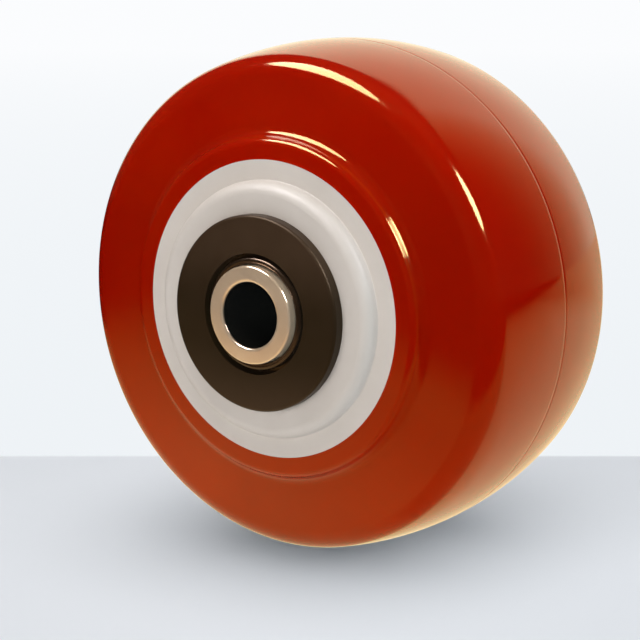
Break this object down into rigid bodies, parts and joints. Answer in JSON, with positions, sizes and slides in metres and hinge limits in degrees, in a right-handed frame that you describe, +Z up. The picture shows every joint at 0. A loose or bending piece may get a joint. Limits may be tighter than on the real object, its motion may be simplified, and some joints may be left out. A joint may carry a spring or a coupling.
{
  "type": "polyurethane castor wheel",
  "caption": "Castor wheel with a crowned red polyurethane tyre on a grey plastic core, a caged roller bearing and a steel spanner sleeve for the axle bolt.",
  "frame": {"origin": "the wheel's centre, on the axle's axis and midway between the two faces", "axes": "+Y along the axle, away from the front face; +Z up; the wheel spins about Y"},
  "size_m": [0.1016, 0.0636, 0.1016],
  "materials": {
    "polyurethane": "gloss cast red polyurethane",
    "core": "satin moulded light grey plastic",
    "washer": "satin moulded near-black plastic",
    "seal": "smooth black rubber",
    "sleeve": "turned and lightly plated steel",
    "race": "hardened and ground steel",
    "roller": "polished bearing steel",
    "cage": "moulded natural nylon"
  },
  "bodies": {
    "sleeve": {"axle_sleeve": "sleeve"},
    "wheel": {"tyre": "polyurethane", "core": "core", "bearing_race": "race", "front_retaining_washer": "washer", "rear_retaining_washer": "washer", "front_lip_seal": "seal", "rear_lip_seal": "seal"},
    "cage": {"roller_cage": "cage"},
    "roller_01": {"roller_01": "roller"},
    "roller_02": {"roller_02": "roller"},
    "roller_03": {"roller_03": "roller"},
    "roller_04": {"roller_04": "roller"},
    "roller_05": {"roller_05": "roller"},
    "roller_06": {"roller_06": "roller"},
    "roller_07": {"roller_07": "roller"},
    "roller_08": {"roller_08": "roller"},
    "roller_09": {"roller_09": "roller"},
    "roller_10": {"roller_10": "roller"},
    "roller_11": {"roller_11": "roller"},
    "roller_12": {"roller_12": "roller"}
  },
  "joints": [
    {"name": "wheel_spin", "type": "hinge", "parent": "sleeve", "child": "wheel", "pos_m": [0, 0, 0], "axis": [0, 1, 0], "continuous": true},
    {"name": "cage_spin", "type": "hinge", "parent": "sleeve", "child": "cage", "pos_m": [0, 0, 0], "axis": [0, 1, 0], "continuous": true},
    {"name": "roller_01_spin", "type": "hinge", "parent": "cage", "child": "roller_01", "pos_m": [0.0119, 0, 0], "axis": [0, 1, 0], "continuous": true},
    {"name": "roller_02_spin", "type": "hinge", "parent": "cage", "child": "roller_02", "pos_m": [0.01031, 0, 0.00595], "axis": [0, 1, 0], "continuous": true},
    {"name": "roller_03_spin", "type": "hinge", "parent": "cage", "child": "roller_03", "pos_m": [0.00595, 0, 0.01031], "axis": [0, 1, 0], "continuous": true},
    {"name": "roller_04_spin", "type": "hinge", "parent": "cage", "child": "roller_04", "pos_m": [0, 0, 0.0119], "axis": [0, 1, 0], "continuous": true},
    {"name": "roller_05_spin", "type": "hinge", "parent": "cage", "child": "roller_05", "pos_m": [-0.00595, 0, 0.01031], "axis": [0, 1, 0], "continuous": true},
    {"name": "roller_06_spin", "type": "hinge", "parent": "cage", "child": "roller_06", "pos_m": [-0.01031, 0, 0.00595], "axis": [0, 1, 0], "continuous": true},
    {"name": "roller_07_spin", "type": "hinge", "parent": "cage", "child": "roller_07", "pos_m": [-0.0119, 0, 0], "axis": [0, 1, 0], "continuous": true},
    {"name": "roller_08_spin", "type": "hinge", "parent": "cage", "child": "roller_08", "pos_m": [-0.01031, 0, -0.00595], "axis": [0, 1, 0], "continuous": true},
    {"name": "roller_09_spin", "type": "hinge", "parent": "cage", "child": "roller_09", "pos_m": [-0.00595, 0, -0.01031], "axis": [0, 1, 0], "continuous": true},
    {"name": "roller_10_spin", "type": "hinge", "parent": "cage", "child": "roller_10", "pos_m": [0, 0, -0.0119], "axis": [0, 1, 0], "continuous": true},
    {"name": "roller_11_spin", "type": "hinge", "parent": "cage", "child": "roller_11", "pos_m": [0.00595, 0, -0.01031], "axis": [0, 1, 0], "continuous": true},
    {"name": "roller_12_spin", "type": "hinge", "parent": "cage", "child": "roller_12", "pos_m": [0.01031, 0, -0.00595], "axis": [0, 1, 0], "continuous": true}
  ],
  "couplings": [
    {"joint": "cage_spin", "follows": "wheel_spin", "ratio": 0.6},
    {"joint": "roller_01_spin", "follows": "wheel_spin", "ratio": 2.4},
    {"joint": "roller_02_spin", "follows": "wheel_spin", "ratio": 2.4},
    {"joint": "roller_03_spin", "follows": "wheel_spin", "ratio": 2.4},
    {"joint": "roller_04_spin", "follows": "wheel_spin", "ratio": 2.4},
    {"joint": "roller_05_spin", "follows": "wheel_spin", "ratio": 2.4},
    {"joint": "roller_06_spin", "follows": "wheel_spin", "ratio": 2.4},
    {"joint": "roller_07_spin", "follows": "wheel_spin", "ratio": 2.4},
    {"joint": "roller_08_spin", "follows": "wheel_spin", "ratio": 2.4},
    {"joint": "roller_09_spin", "follows": "wheel_spin", "ratio": 2.4},
    {"joint": "roller_10_spin", "follows": "wheel_spin", "ratio": 2.4},
    {"joint": "roller_11_spin", "follows": "wheel_spin", "ratio": 2.4},
    {"joint": "roller_12_spin", "follows": "wheel_spin", "ratio": 2.4}
  ]
}
